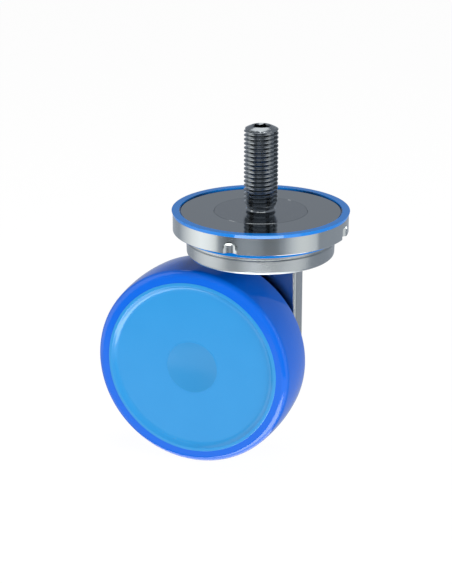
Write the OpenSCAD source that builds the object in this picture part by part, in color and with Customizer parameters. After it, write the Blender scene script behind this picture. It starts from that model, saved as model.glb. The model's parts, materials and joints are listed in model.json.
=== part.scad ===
// Swivel castor with a threaded stem, a sealed round head, a single-arm fork and a closed wheel.
// Z points up along the stem, and Z 0 is the face that is drawn up against the machine.
// X is the rolling direction, with the wheel trailing towards -X. Y lies along the axle, and the arm is on +Y.

/* [Stem] */
// Outer diameter of the stem's thread
thread_d = 20; // [18:1:24]
// Height of the stem above the mounting face
stem_len = 52; // [40:1:70]
// Length of the lead-in cone at the tip
tip_len = 3.5; // [1:0.5:5]
// How far the lead-in cone draws the tip in, on the radius
tip_draw = 2.9; // [1.5:0.1:3.2]
// Height of the thread's run-out groove above the mounting face
undercut_len = 3; // [2:0.5:5]
// Depth of the run-out groove
undercut_depth = 1.4; // [0.8:0.1:2]
// Width across flats of the hexagon socket in the tip
socket_af = 10; // [8:1:11]
// Depth of the hexagon socket
socket_depth = 12; // [8:1:20]
// Diameter of the flange that the stem is turned with
flange_d = 55; // [50:1:62]

/* [Head] */
// Radial width of the polished top plate around the flange
plate_w = 19.7; // [18:0.1:22]
// Thickness of the top plate and of the stem's flange
plate_t = 6; // [5.4:0.1:6.7]
// Wall of the notched clamp ring outside the plate
ring_wall = 4.5; // [4.1:0.1:6]
// How far the clamp ring's top lies below the mounting face
ring_sink = 1.3; // [1:0.1:2]
// How far the clamp ring's lip reaches under the plate
ring_lip_w = 4.7; // [4:0.1:5.2]
// Thickness of that lip
ring_lip_t = 5; // [4.5:0.1:5.6]
// Number of spanner notches in the clamp ring
notch_count = 4; // [2:1:8]
// Width of a notch, which has an arched top
notch_w = 8; // [6:0.5:10]
// Depth of a notch in the ring's wall
notch_depth = 3; // [2:0.1:3.5]
// Rounding between a notch's floor and its walls
notch_corner_r = 1.5; // [0.5:0.1:1.8]
// Height of a notch, from the ring's foot up
notch_h = 7.8; // [6:0.1:8.7]

/* [Seals] */
// Width of the groove between the plate and the top seal
seal_slot = 0.6; // [0.3:0.1:1.5]
// How far the top seal's lip flares out past the clamp ring
seal_flare = 0.65; // [0.2:0.05:1.5]
// How far the top seal stands proud of the mounting face
top_seal_proud = 0.8; // [0.4:0.1:1.5]
// Radial width of the lip seal under the clamp ring
lip_seal_w = 4; // [3:0.1:5]

/* [Swivel thrust bearing] */
// Diameter of the thrust balls
thrust_ball_d = 6; // [5:0.5:6.5]
// Number of thrust balls
thrust_balls_n = 24; // [18:1:26]
// Radial width of a thrust washer
thrust_washer_w = 10.5; // [9.5:0.5:11.5]
// Thickness of a thrust washer
thrust_washer_t = 3; // [2.7:0.1:3.4]
// Wall of the fork's neck around the thrust washers
neck_wall = 1.9; // [1.6:0.1:2.4]

/* [Kingpin bearing] */
// Bore of the kingpin bearing
king_bore = 25; // [23:0.5:28]
// Outer diameter of the kingpin bearing
king_od = 42; // [38:0.5:47]
// Width of the kingpin bearing
king_w = 9; // [8.5:0.5:10]
// Diameter of the kingpin bearing's balls
king_ball_d = 5.5; // [5:0.1:6]
// Number of balls in the kingpin bearing
king_balls_n = 13; // [8:1:14]
// Thickness of the slotted nut that holds the fork up
lock_nut_t = 3.6; // [3:0.2:6]

/* [Fork] */
// Width of the shoulder around the neck of the fork's round head
cup_shoulder = 2.3; // [1.5:0.1:4]
// Rounding of the head's lower edge
cup_fillet = 2.4; // [1:0.2:4]
// Distance of the thin ring groove below the head's shoulder
groove_drop = 2.1; // [1.5:0.1:4]
// Distance between the swivel axis and the axle, along the rolling direction
trail = 37.5; // [30:0.5:45]
// Free height between the tyre and the fork's round head
head_clearance = 10.2; // [6:0.2:20]
// Side gap between the tyre and the arm
arm_gap = 3; // [3:0.2:6]
// Thickness of the arm
arm_t = 14.5; // [11:0.5:15]
// Rounding along all edges of the arm
arm_fillet = 2.4; // [1:0.2:3]
// Place of the arm's upright front edge, from the swivel axis
arm_front = 15.5; // [12:0.5:18]
// Place of the arm's rear edge at the head, from the swivel axis
arm_rear = 20; // [16:0.5:20]
// Radius of the sweep at the arm's lower front corner
arm_sweep_r = 26; // [18:1:32]
// Height of that sweep's centre above the axle
arm_sweep_rise = 20.5; // [12:0.5:26]
// Radius of the arm's round end at the axle
arm_end_r = 21; // [18:0.5:26]
// Diameter of the raised face under the axle nut
boss_d = 32; // [26:1:34]
// Height of the raised face under the axle nut
boss_h = 1.5; // [0.5:0.5:4]

/* [Wheel] */
// Diameter over the tyre
wheel_d = 125; // [120:1:130]
// Width of the tyre
tyre_w = 36.5; // [35:0.5:40]
// Rounding of the tyre's edges
tyre_edge_r = 4.2; // [2:0.2:5]
// Radius of the crown across the tread
crown_r = 125; // [90:5:300]
// Thickness of the tyre at the middle of the tread
tyre_t = 8.3; // [7:0.1:12]
// How far the hub's rim stands proud of the tyre's side
rim_proud = 0.2; // [0:0.1:0.6]
// Radial width of the flat band on the rim's side
rim_band = 1.9; // [1.5:0.1:4]
// Radial width of the rounded step from that band down to the side disc
rim_step = 4.8; // [4:0.1:8]
// Depth of the side disc below the rim
disc_recess = 1.8; // [1:0.1:2.4]
// Depth of the moulded channel that locks the tyre on the hub
key_depth = 2.5; // [1:0.5:4]
// Half width of that channel at its floor
key_half_w = 9; // [6:0.5:11]
// How far the cap over the axle's end reaches out past the bearing's seat
cap_lap = 0.7; // [0.5:0.1:3]
// Depth of the shallow dish in the cap's face
cap_dish = 1.2; // [0.5:0.1:1.4]

/* [Wheel bearings] */
// Bore of a wheel bearing
hub_bearing_bore = 15; // [14:0.5:17]
// Outer diameter of a wheel bearing
hub_bearing_od = 32; // [30:0.5:36]
// Width of a wheel bearing
hub_bearing_w = 9; // [8:0.5:10]
// Diameter of a wheel bearing's balls
hub_ball_d = 4.7; // [4.2:0.1:5.2]
// Number of balls in a wheel bearing
hub_balls_n = 9; // [7:1:11]
// Width of the shaft seal beside the arm
shaft_seal_w = 3; // [2:0.5:3.5]

/* [Axle] */
// Diameter of the axle's collar, which stands against the arm
collar_d = 20; // [18:0.5:22]
// Diameter of the axle's stretch inside the arm
tail_d = 14; // [13:0.5:16]
// Outer diameter of the axle's thread
axle_thread_d = 12; // [10:0.5:13]
// Width across flats of the domed axle nut
axle_nut_af = 19; // [18:1:22]
// Height of the hexagon on the axle nut
axle_nut_h = 8; // [6:0.5:10]
// Thickness of the washer under the axle nut
axle_washer_t = 2; // [1.5:0.5:3]
// Outer diameter of that washer
axle_washer_d = 28; // [24:1:30]

/* [Hidden] */

$fn = 96;

// Clearances: a seated fit, a ball or shaft that runs, a sealing gap, and free air
fit = 0.02;
run = 0.1;
seal_gap = 0.3;
air = 1;
// Amount by which a cut runs past the face that it opens
over = 1;

// Small edge breaks, in millimetres
edge_break = 0.3;
ring_break = 0.4;
thread_run_out = 0.8;
stem_foot_r = 0.6;

// Steel colours and blues, as fractions of red, green and blue
dark_steel = [0.28, 0.29, 0.31];
polished_steel = [0.62, 0.64, 0.67];
cast_steel = [0.66, 0.68, 0.69];
bearing_steel = [0.75, 0.76, 0.78];
brass = [0.78, 0.62, 0.32];
seal_blue = [0.10, 0.45, 0.85];
tyre_blue = [0.08, 0.42, 0.92];
hub_blue = [0.23, 0.63, 0.90];
rubber = [0.10, 0.11, 0.13];

// Radii in the head, from the flange out, and back in under the plate
plate_in_r = flange_d / 2 + fit;
plate_r = plate_in_r + plate_w;
plate_seat_r = plate_r + fit;
ring_r = plate_seat_r + ring_wall;
ring_bore_r = plate_r - ring_lip_w;
neck_out_r = ring_bore_r - air;
neck_in_r = neck_out_r - neck_wall;
cup_r = neck_out_r + cup_shoulder;
washer_out_r = neck_in_r - run;
washer_in_r = washer_out_r - thrust_washer_w;
thrust_pitch_r = (washer_in_r + washer_out_r) / 2;

// Radii on the kingpin
king_shoulder_r = king_bore / 2 + 2.5;
king_nut_thread_r = king_bore / 2 - 2.5;
keyway_w = 4;
keyway_depth = 2;
lock_nut_r = king_nut_thread_r + 6;
lock_slot_w = 4;
lock_slot_depth = 1.8;

// Heights in the head, from the mounting face down
plate_bottom = -plate_t;
ring_top = -ring_sink;
ring_bottom = plate_bottom - ring_lip_t;
race_gap = thrust_ball_d / 2;
upper_washer_bottom = plate_bottom - thrust_washer_t;
lower_washer_top = upper_washer_bottom - race_gap;
shoulder_z = lower_washer_top - thrust_washer_t;
thrust_ball_z = upper_washer_bottom - race_gap / 2;
neck_top = thrust_ball_z + air / 2;

// The fork's inner collar stands inside the thrust washers and covers the kingpin bearing
collar_lip_t = 1.5;
inner_collar_top = plate_bottom - 3 * air;
king_top = inner_collar_top - collar_lip_t;
king_bottom = king_top - king_w;
lock_washer_t = 1;
lock_nut_top = king_bottom - lock_washer_t;
kingpin_end = lock_nut_top - lock_nut_t;
cover_t = 1.2;
cover_top = kingpin_end - air / 2;
cup_bottom = cover_top - cover_t;
axle_drop = wheel_d / 2 + head_clearance - cup_bottom;

// Radii of the wheel
wheel_r = wheel_d / 2;
hub_r = wheel_r - tyre_t;
lip_r = hub_r - rim_band;
disc_r = lip_r - rim_step;
bearing_seat_r = hub_bearing_od / 2 + fit;
cap_r = bearing_seat_r + cap_lap;

// Places along the axle, from the wheel's middle towards each side
rim_face = tyre_w / 2 + rim_proud;
disc_face = rim_face - disc_recess;
cap_flange_t = 1.75;
cap_t = 1.1;
cap_floor = disc_face - cap_dish - cap_t;
axle_tip = cap_floor - air / 2;
axle_tip_len = 0.85;
circlip_t = 1;
circlip_groove_depth = 0.4;
bearing_out = axle_tip - axle_tip_len - circlip_t;
bearing_in = bearing_out - hub_bearing_w;
cap_skirt_end = bearing_out + circlip_t + seal_gap;
arm_in = tyre_w / 2 + arm_gap;
arm_out = arm_in + arm_t;
nut_seat = arm_out + boss_h;
nut_base = nut_seat + axle_washer_t;
axle_far_end = nut_base + axle_nut_h + 1;
nut_dome_r = axle_nut_af / 2 - 1;

// Half the angle of the tread's crown, so that its end and the edge rounding share one tangent
crown_angle = asin((tyre_w / 2 - tyre_edge_r) / (crown_r - tyre_edge_r));

// Points of an arc about [cx, cy], from angle a0 to angle a1 in n steps
function arc(cx, cy, r, a0, a1, n) =
    [for (i = [0:n]) let (a = a0 + (a1 - a0) * i / n) [cx + r * cos(a), cy + r * sin(a)]];

// An S-shaped step from p to q, made of two equal arcs that leave and arrive level
function s_step(p, q, n) =
    let (dx = q[0] - p[0], dy = q[1] - p[1], turn = 2 * atan(dy / dx), r = dx / (2 * sin(turn)))
    concat(
        [for (i = [0:n]) let (a = turn * i / n) [p[0] + r * sin(a), p[1] + r * (1 - cos(a))]],
        [for (i = [n - 1:-1:0]) let (a = turn * i / n) [q[0] - r * sin(a), q[1] - r * (1 - cos(a))]]
    );

// A profile mirrored in its second coordinate, in reversed order
function mirrored(points) = [for (i = [len(points) - 1:-1:0]) [points[i][0], -points[i][1]]];

// Turns a profile of [radius, height] points about the Z axis
module turned(points) {
    rotate_extrude() polygon(points);
}

// Places a turned piece of the wheel: its own Z becomes the axle's direction, +Y
module on_axle() {
    translate([-trail, 0, -axle_drop]) rotate([-90, 0, 0]) children();
}

// A ball race cut as a groove around the Z axis
module race(pitch_r, z, ball_d) {
    translate([0, 0, z]) rotate_extrude() translate([pitch_r, 0]) circle(r = ball_d / 2 + run);
}

module ball_ring(pitch_r, z, ball_d, count) {
    for (i = [0:count - 1])
        rotate([0, 0, 360 / count * i]) translate([pitch_r, 0, z]) sphere(r = ball_d / 2, $fn = 24);
}

module plain_ring(in_r, out_r, z0, z1) {
    turned([[in_r, z0], [out_r, z0], [out_r, z1], [in_r, z1]]);
}

// Deep-groove ball bearing pieces around the Z axis, with the middle at height z
module bearing_inner(bore, od, w, z, ball_d) {
    pitch_r = (bore + od) / 4;
    difference() {
        plain_ring(bore / 2 + fit, pitch_r - 0.38 * ball_d, z - w / 2, z + w / 2);
        race(pitch_r, z, ball_d);
    }
}

module bearing_outer(bore, od, w, z, ball_d) {
    pitch_r = (bore + od) / 4;
    difference() {
        plain_ring(pitch_r + 0.38 * ball_d, od / 2, z - w / 2, z + w / 2);
        race(pitch_r, z, ball_d);
    }
}

module bearing_cage(bore, od, z, ball_d, count) {
    pitch_r = (bore + od) / 4;
    cage_half_t = 0.17 * ball_d;
    cage_half_w = 0.65 * ball_d;
    difference() {
        plain_ring(pitch_r - cage_half_t, pitch_r + cage_half_t, z - cage_half_w, z + cage_half_w);
        for (i = [0:count - 1]) rotate([0, 0, 360 / count * i])
            translate([pitch_r - ball_d / 2, 0, z]) rotate([0, 90, 0])
                cylinder(r = ball_d / 2 + run, h = ball_d, $fn = 32);
    }
}

// Stem, flange and kingpin, turned from one bar
module stem() {
    thread_r = thread_d / 2;
    groove_r = thread_r - undercut_depth;
    socket_corner_r = socket_af / 2 / cos(30);
    mouth_r = socket_corner_r + edge_break;
    color(dark_steel) difference() {
        turned(concat(
            [
                [0, stem_len],
                [thread_r - tip_draw, stem_len],
                [thread_r, stem_len - tip_len],
                [thread_r, undercut_len + thread_run_out],
                [groove_r, undercut_len]
            ],
            arc(groove_r + stem_foot_r, stem_foot_r, stem_foot_r, 180, 270, 4),
            [
                [flange_d / 2 - edge_break, 0],
                [flange_d / 2, -edge_break],
                [flange_d / 2, plate_bottom],
                [king_shoulder_r, plate_bottom],
                [king_shoulder_r, king_top],
                [king_bore / 2, king_top],
                [king_bore / 2, king_bottom],
                [king_nut_thread_r, king_bottom],
                [king_nut_thread_r, kingpin_end + edge_break],
                [king_nut_thread_r - edge_break, kingpin_end],
                [0, kingpin_end]
            ]
        ));
        translate([0, 0, stem_len - socket_depth])
            rotate([0, 0, 30]) cylinder(r = socket_corner_r, h = socket_depth + over, $fn = 6);
        translate([0, 0, stem_len - mouth_r + socket_af / 2])
            cylinder(r1 = socket_af / 2, r2 = mouth_r + over, h = mouth_r - socket_af / 2 + over);
        translate([king_nut_thread_r - keyway_depth, -keyway_w / 2, kingpin_end - over])
            cube([keyway_depth + over, keyway_w, king_bottom - kingpin_end + over]);
    }
}

module top_plate() {
    color(dark_steel) turned([
        [plate_in_r + edge_break, 0],
        [plate_r - edge_break, 0],
        [plate_r, -edge_break],
        [plate_r, plate_bottom],
        [plate_in_r, plate_bottom],
        [plate_in_r, -edge_break]
    ]);
}

// Section of a notch: half a slot with rounded floor corners, as [half width, height above the floor]
function notch_half() =
    let (half = notch_w / 2, corner = notch_corner_r)
    concat(
        [[0, 0]],
        arc(half - corner, corner, corner, -90, 0, 6),
        [[half, notch_depth + over], [0, notch_depth + over]]
    );

// A notch with its floor on the YZ plane, its arch at Z 0, and its open foot a length below
module notch(length) {
    rotate([0, 90, 0]) turned(notch_half());
    translate([0, 0, -length]) linear_extrude(length)
        for (s = [-1, 1]) polygon([for (p = notch_half()) [p[1], s * p[0]]]);
}

// The ring is screwed up over the plate's rim by its notches, and its lip takes the plate's edge
module clamp_ring() {
    arch_z = ring_bottom + notch_h - notch_w / 2;
    color(polished_steel) difference() {
        turned([
            [plate_seat_r, ring_top],
            [ring_r, ring_top],
            [ring_r, ring_bottom + ring_break],
            [ring_r - ring_break, ring_bottom],
            [ring_bore_r, ring_bottom],
            [ring_bore_r, plate_bottom],
            [plate_seat_r, plate_bottom]
        ]);
        for (i = [0:notch_count - 1]) rotate([0, 0, 360 / notch_count * i])
            translate([ring_r - notch_depth, 0, arch_z]) notch(arch_z - ring_bottom + over);
    }
}

// The top seal lies on the clamp ring, and its lip flares outwards to the mounting surface
module top_seal() {
    in_r = plate_r + seal_slot;
    lip_out_r = ring_r + seal_flare;
    color(seal_blue) turned([
        [in_r, ring_top],
        [ring_r, ring_top],
        [lip_out_r, top_seal_proud - edge_break / 2],
        [lip_out_r - edge_break / 2, top_seal_proud],
        [in_r, top_seal_proud]
    ]);
}

module thrust_washer(top) {
    color(bearing_steel) difference() {
        plain_ring(washer_in_r, washer_out_r, top - thrust_washer_t, top);
        race(thrust_pitch_r, thrust_ball_z, thrust_ball_d);
    }
}

module thrust_washer_upper() {
    thrust_washer(plate_bottom);
}

module thrust_washer_lower() {
    thrust_washer(lower_washer_top);
}

module thrust_balls() {
    color(bearing_steel) ball_ring(thrust_pitch_r, thrust_ball_z, thrust_ball_d, thrust_balls_n);
}

module thrust_cage() {
    cage_half_t = 0.3 * race_gap;
    margin = 1;
    color(brass) difference() {
        plain_ring(washer_in_r + margin, washer_out_r - margin,
            thrust_ball_z - cage_half_t, thrust_ball_z + cage_half_t);
        for (i = [0:thrust_balls_n - 1]) rotate([0, 0, 360 / thrust_balls_n * i])
            translate([thrust_pitch_r, 0, thrust_ball_z - race_gap])
                cylinder(r = thrust_ball_d / 2 + run, h = 2 * race_gap, $fn = 32);
    }
}

module king_bearing_inner() {
    color(bearing_steel) bearing_inner(king_bore, king_od, king_w, king_top - king_w / 2, king_ball_d);
}

module king_bearing_outer() {
    color(bearing_steel) bearing_outer(king_bore, king_od, king_w, king_top - king_w / 2, king_ball_d);
}

module king_bearing_balls() {
    color(bearing_steel)
        ball_ring((king_bore + king_od) / 4, king_top - king_w / 2, king_ball_d, king_balls_n);
}

module king_bearing_cage() {
    color(brass) bearing_cage(king_bore, king_od, king_top - king_w / 2, king_ball_d, king_balls_n);
}

// Tab washer: one tongue in the kingpin's keyway, one bent down into a slot of the nut
module lock_washer() {
    in_r = king_nut_thread_r + run;
    out_r = lock_nut_r - 2 * seal_gap;
    tongue_w = keyway_w - 2 * run;
    tab_w = lock_slot_w - 2 * run;
    tab_t = lock_slot_depth - 3 * seal_gap;
    color(bearing_steel) union() {
        plain_ring(in_r, out_r, lock_nut_top, king_bottom);
        translate([in_r - keyway_depth, -tongue_w / 2, lock_nut_top])
            cube([keyway_depth + seal_gap, tongue_w, lock_washer_t]);
        translate([out_r - tab_t, -tab_w / 2, lock_nut_top - lock_nut_t / 2])
            cube([tab_t - seal_gap, tab_w, lock_nut_t / 2 + lock_washer_t / 2]);
    }
}

module lock_nut() {
    color(dark_steel) difference() {
        plain_ring(king_nut_thread_r + fit, lock_nut_r, kingpin_end, lock_nut_top);
        for (i = [0:3]) rotate([0, 0, 90 * i])
            translate([lock_nut_r - lock_slot_depth, -lock_slot_w / 2, kingpin_end - over])
                cube([lock_slot_depth + over, lock_slot_w, lock_nut_t + 2 * over]);
    }
}

// Flexible lip seal that turns with the fork and closes the gap under the clamp ring
module lip_seal() {
    in_r = neck_out_r + fit;
    out_r = neck_out_r + lip_seal_w;
    top = ring_bottom - seal_gap;
    band = 0.28 * (top - shoulder_z);
    color(seal_blue) turned([
        [in_r, shoulder_z],
        [out_r - edge_break, shoulder_z],
        [out_r, shoulder_z + edge_break],
        [out_r, shoulder_z + band],
        [(in_r + out_r) / 2, top],
        [in_r, top]
    ]);
}

module bottom_cover() {
    color(polished_steel) plain_ring(0, king_od / 2, cup_bottom, cover_top);
}

// Corner circles of the arm seen along the axle, as [x, z, radius], anticlockwise from the front top
function arm_corners() =
    let (top_r = arm_fillet + 0.6, top_z = cup_bottom + 0.8 * air)
    [
        [arm_front - top_r, top_z, top_r],
        [top_r - arm_rear, top_z, top_r],
        [-trail, -axle_drop, arm_end_r],
        [arm_front - arm_sweep_r, arm_sweep_rise - axle_drop, arm_sweep_r]
    ];

// Direction of the outward normal where the straight edge between two corner circles touches them
function edge_normal(a, b) =
    let (d = [b[0] - a[0], b[1] - a[1]])
    atan2(d[1], d[0]) - 90 + asin((a[2] - b[2]) / norm(d));

// The same angle moved up by whole turns until it is not below the one before
function after(angle, before) = angle < before ? after(angle + 360, before) : angle;

// The arm's outline, drawn in by a distance: each corner circle keeps its centre and loses radius
function arm_outline(inset, steps) =
    let (c = arm_corners(), n = len(c))
    [for (i = [0:n - 1])
        let (
            a0 = edge_normal(c[(i + n - 1) % n], c[i]),
            a1 = after(edge_normal(c[i], c[(i + 1) % n]), a0)
        )
        each arc(c[i][0], c[i][1], c[i][2] - inset, a0, a1, steps)];

// A slab between y0 and y1 whose edges are rounded all round: rings of outline points, skinned
module rounded_arm(y0, y1, fillet, steps, fillet_steps) {
    side = [for (k = [0:fillet_steps]) let (a = 90 * k / fillet_steps)
        [fillet * (1 - sin(a)), fillet * (1 - cos(a))]];
    levels = concat(
        [for (s = side) [s[0], y0 + s[1]]],
        [for (k = [fillet_steps:-1:0]) [side[k][0], y1 - side[k][1]]]
    );
    rings = [for (l = levels) [for (p = arm_outline(l[0], steps)) [p[0], l[1], p[1]]]];
    n = len(rings[0]);
    m = len(rings);
    polyhedron(
        points = [for (r = rings) each r],
        faces = concat(
            [[for (i = [n - 1:-1:0]) i]],
            [for (k = [0:m - 2], i = [0:n - 1])
                [k * n + i, k * n + (i + 1) % n, (k + 1) * n + (i + 1) % n, (k + 1) * n + i]],
            [[for (i = [0:n - 1]) (m - 1) * n + i]]
        )
    );
}

// The fork is one casting: a round head with the swivel seats, and a single arm down to the axle
module fork() {
    groove_z = shoulder_z - groove_drop;
    groove_half = 0.25;
    groove_depth = 0.5;
    color(cast_steel) difference() {
        union() {
            turned(concat(
                [
                    [washer_in_r - run, inner_collar_top],
                    [washer_in_r - run, shoulder_z],
                    [neck_in_r, shoulder_z],
                    [neck_in_r, neck_top],
                    [neck_out_r, neck_top],
                    [neck_out_r, shoulder_z],
                    [cup_r, shoulder_z],
                    [cup_r, groove_z + groove_half],
                    [cup_r - groove_depth, groove_z],
                    [cup_r, groove_z - groove_half]
                ],
                arc(cup_r - cup_fillet, cup_bottom + cup_fillet, cup_fillet, 0, -90, 6),
                [[0, cup_bottom], [0, inner_collar_top]]
            ));
            rounded_arm(arm_in, arm_out, arm_fillet, 9, 4);
            on_axle() cylinder(d = boss_d, h = nut_seat);
        }
        translate([0, 0, cup_bottom - over]) cylinder(r = king_od / 2 + fit, h = king_top - cup_bottom + over);
        translate([0, 0, king_top - over])
            cylinder(r = king_od / 2 - 2, h = inner_collar_top - king_top + 2 * over);
        on_axle() translate([0, 0, -over]) cylinder(d = boss_d + 2 * over, h = arm_in + over);
        on_axle() cylinder(d = tail_d + 2 * fit, h = nut_seat + over);
    }
}

// Axle: journal for both bearings, collar against the arm, tail and thread through it
module axle() {
    journal_r = hub_bearing_bore / 2;
    thread_r = axle_thread_d / 2;
    groove_r = journal_r - circlip_groove_depth;
    color(bearing_steel) on_axle() turned([
        [0, -axle_tip],
        [journal_r - edge_break, -axle_tip],
        [journal_r, -axle_tip + edge_break],
        [journal_r, -bearing_out - circlip_t - run],
        [groove_r, -bearing_out - circlip_t - run],
        [groove_r, -bearing_out],
        [journal_r, -bearing_out],
        [journal_r, bearing_out],
        [collar_d / 2, bearing_out],
        [collar_d / 2, arm_in],
        [tail_d / 2, arm_in],
        [tail_d / 2, nut_seat - edge_break],
        [thread_r, nut_seat - edge_break],
        [thread_r, axle_far_end - edge_break],
        [thread_r - edge_break, axle_far_end],
        [0, axle_far_end]
    ]);
}

module bearing_spacer() {
    color(bearing_steel) on_axle()
        plain_ring(hub_bearing_bore / 2 + fit, hub_bearing_bore / 2 + 2, -bearing_in, bearing_in);
}

// Open retaining ring with two eyes for the pliers
module circlip() {
    in_r = hub_bearing_bore / 2 - circlip_groove_depth + fit;
    out_r = hub_bearing_bore / 2 + 1.4;
    eye_r = 1.7;
    eye_hole_r = 0.8;
    eye_turn = 16;
    eye_at = out_r + 0.4;
    gap_w = 2.4;
    color(dark_steel) on_axle() translate([0, 0, -bearing_out - circlip_t])
        linear_extrude(circlip_t) difference() {
            union() {
                circle(r = out_r);
                for (s = [-1, 1]) rotate(90 + s * eye_turn) translate([eye_at, 0]) circle(r = eye_r, $fn = 32);
            }
            circle(r = in_r);
            translate([-gap_w / 2, 0]) square([gap_w, eye_at + 2 * eye_r]);
            for (s = [-1, 1]) rotate(90 + s * eye_turn) translate([eye_at, 0])
                circle(r = eye_hole_r, $fn = 24);
        }
}

module axle_washer() {
    color(polished_steel) on_axle()
        plain_ring(axle_thread_d / 2 + 2 * run, axle_washer_d / 2, nut_seat, nut_base);
}

// Domed nut: a hexagon with a closed round end over the axle's thread
module axle_nut() {
    hex_top = nut_base + axle_nut_h;
    dome_z = hex_top - nut_dome_r / 4;
    color(polished_steel) on_axle() difference() {
        union() {
            translate([0, 0, nut_base]) cylinder(d = axle_nut_af / cos(30), h = axle_nut_h, $fn = 6);
            intersection() {
                translate([0, 0, dome_z]) sphere(r = nut_dome_r);
                translate([0, 0, dome_z]) cylinder(r = nut_dome_r + over, h = nut_dome_r + over);
            }
        }
        translate([0, 0, nut_base - over])
            cylinder(r = axle_thread_d / 2 + fit, h = axle_far_end - nut_base + over + seal_gap);
    }
}

module hub_bearing_piece(side) {
    on_axle() translate([0, 0, side * (bearing_in + hub_bearing_w / 2)]) children();
}

module near_bearing_inner() {
    color(bearing_steel) hub_bearing_piece(-1)
        bearing_inner(hub_bearing_bore, hub_bearing_od, hub_bearing_w, 0, hub_ball_d);
}

module far_bearing_inner() {
    color(bearing_steel) hub_bearing_piece(1)
        bearing_inner(hub_bearing_bore, hub_bearing_od, hub_bearing_w, 0, hub_ball_d);
}

module near_bearing_outer() {
    color(bearing_steel) hub_bearing_piece(-1)
        bearing_outer(hub_bearing_bore, hub_bearing_od, hub_bearing_w, 0, hub_ball_d);
}

module far_bearing_outer() {
    color(bearing_steel) hub_bearing_piece(1)
        bearing_outer(hub_bearing_bore, hub_bearing_od, hub_bearing_w, 0, hub_ball_d);
}

module near_bearing_balls() {
    color(bearing_steel) hub_bearing_piece(-1)
        ball_ring((hub_bearing_bore + hub_bearing_od) / 4, 0, hub_ball_d, hub_balls_n);
}

module far_bearing_balls() {
    color(bearing_steel) hub_bearing_piece(1)
        ball_ring((hub_bearing_bore + hub_bearing_od) / 4, 0, hub_ball_d, hub_balls_n);
}

module near_bearing_cage() {
    color(brass) hub_bearing_piece(-1)
        bearing_cage(hub_bearing_bore, hub_bearing_od, 0, hub_ball_d, hub_balls_n);
}

module far_bearing_cage() {
    color(brass) hub_bearing_piece(1)
        bearing_cage(hub_bearing_bore, hub_bearing_od, 0, hub_ball_d, hub_balls_n);
}

// Half of the joint between hub and tyre, from the side face to the channel's floor
function key_half() = [
    [hub_r, tyre_w / 2],
    [hub_r, key_half_w + key_depth],
    [hub_r - key_depth, key_half_w]
];

// Crowned tread with rounded edges, moulded on the hub's rim
module tyre() {
    edge_at = wheel_r - crown_r + (crown_r - tyre_edge_r) * cos(crown_angle);
    edge_z = (crown_r - tyre_edge_r) * sin(crown_angle);
    tread = arc(wheel_r - crown_r, 0, crown_r, -crown_angle, crown_angle, 12);
    edge = arc(edge_at, edge_z, tyre_edge_r, crown_angle, 90, 8);
    color(tyre_blue) on_axle() turned(concat(
        tread,
        [for (i = [1:len(edge) - 1]) edge[i]],
        key_half(),
        mirrored(key_half()),
        [for (i = [len(edge) - 1:-1:1]) [edge[i][0], -edge[i][1]]]
    ));
}

// One side of the hub, from its bearing seat out over the disc and the rim's lip
function hub_side(seat_r, seat_z) = concat(
    [[seat_r, seat_z], [seat_r, disc_face]],
    s_step([disc_r, disc_face], [lip_r, rim_face], 6),
    [[hub_r - edge_break, rim_face], [hub_r, rim_face - edge_break / 2]]
);

// Closed hub with a dished disc on each side and a stepped bore for the two bearings
module hub() {
    shoulder_r = bearing_seat_r - 2;
    cap_seat = disc_face - cap_flange_t;
    color(hub_blue) on_axle() turned(concat(
        [[shoulder_r, bearing_in], [bearing_seat_r, bearing_in]],
        hub_side(bearing_seat_r, disc_face - over),
        key_half(),
        mirrored(key_half()),
        mirrored(hub_side(cap_r + fit, cap_seat)),
        [[bearing_seat_r, -cap_seat], [bearing_seat_r, -bearing_in], [shoulder_r, -bearing_in]]
    ));
}

// Snap-in cap that closes the bearing seat, with a shallow dish in its face
module hub_cap() {
    skirt_r = bearing_seat_r - fit;
    skirt_t = 1.4;
    dish_r = (pow(cap_r, 2) + pow(cap_dish, 2)) / (2 * cap_dish);
    dish_angle = asin(cap_r / dish_r);
    color(hub_blue) on_axle() turned(concat(
        arc(0, cap_dish - disc_face - dish_r, dish_r, 90, 90 - dish_angle, 10),
        [
            [cap_r, cap_flange_t - disc_face],
            [skirt_r, cap_flange_t - disc_face],
            [skirt_r, -cap_skirt_end],
            [skirt_r - skirt_t, -cap_skirt_end],
            [skirt_r - skirt_t, -cap_floor],
            [0, -cap_floor]
        ]
    ));
}

// Shaft seal pressed into the hub beside the far bearing, running on the axle's collar
module shaft_seal() {
    color(rubber) on_axle()
        plain_ring(collar_d / 2 + run, hub_bearing_od / 2, bearing_out + fit, bearing_out + shaft_seal_w);
}

stem();
top_plate();
clamp_ring();
top_seal();
thrust_washer_upper();
king_bearing_inner();
lock_washer();
lock_nut();
thrust_balls();
thrust_cage();
king_bearing_balls();
king_bearing_cage();
fork();
thrust_washer_lower();
king_bearing_outer();
lip_seal();
bottom_cover();
axle();
bearing_spacer();
circlip();
axle_washer();
axle_nut();
near_bearing_inner();
far_bearing_inner();
tyre();
hub();
hub_cap();
shaft_seal();
near_bearing_outer();
far_bearing_outer();
near_bearing_balls();
far_bearing_balls();
near_bearing_cage();
far_bearing_cage();
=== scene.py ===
# %% [markdown]
# # A blue castor wheel with a screwed stem
# The castor is a threaded stem and a dark top plate, a bright clamp ring with a blue seal on
# each side, a cast fork with one arm, and a wheel with a glossy blue tyre on a paler hub.
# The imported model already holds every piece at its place, so this file only dresses it: it
# loads the model, gives each piece its finish, and turns a finer surface where light would
# show a facet.

# %% Load the frame
import json
import math

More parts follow.
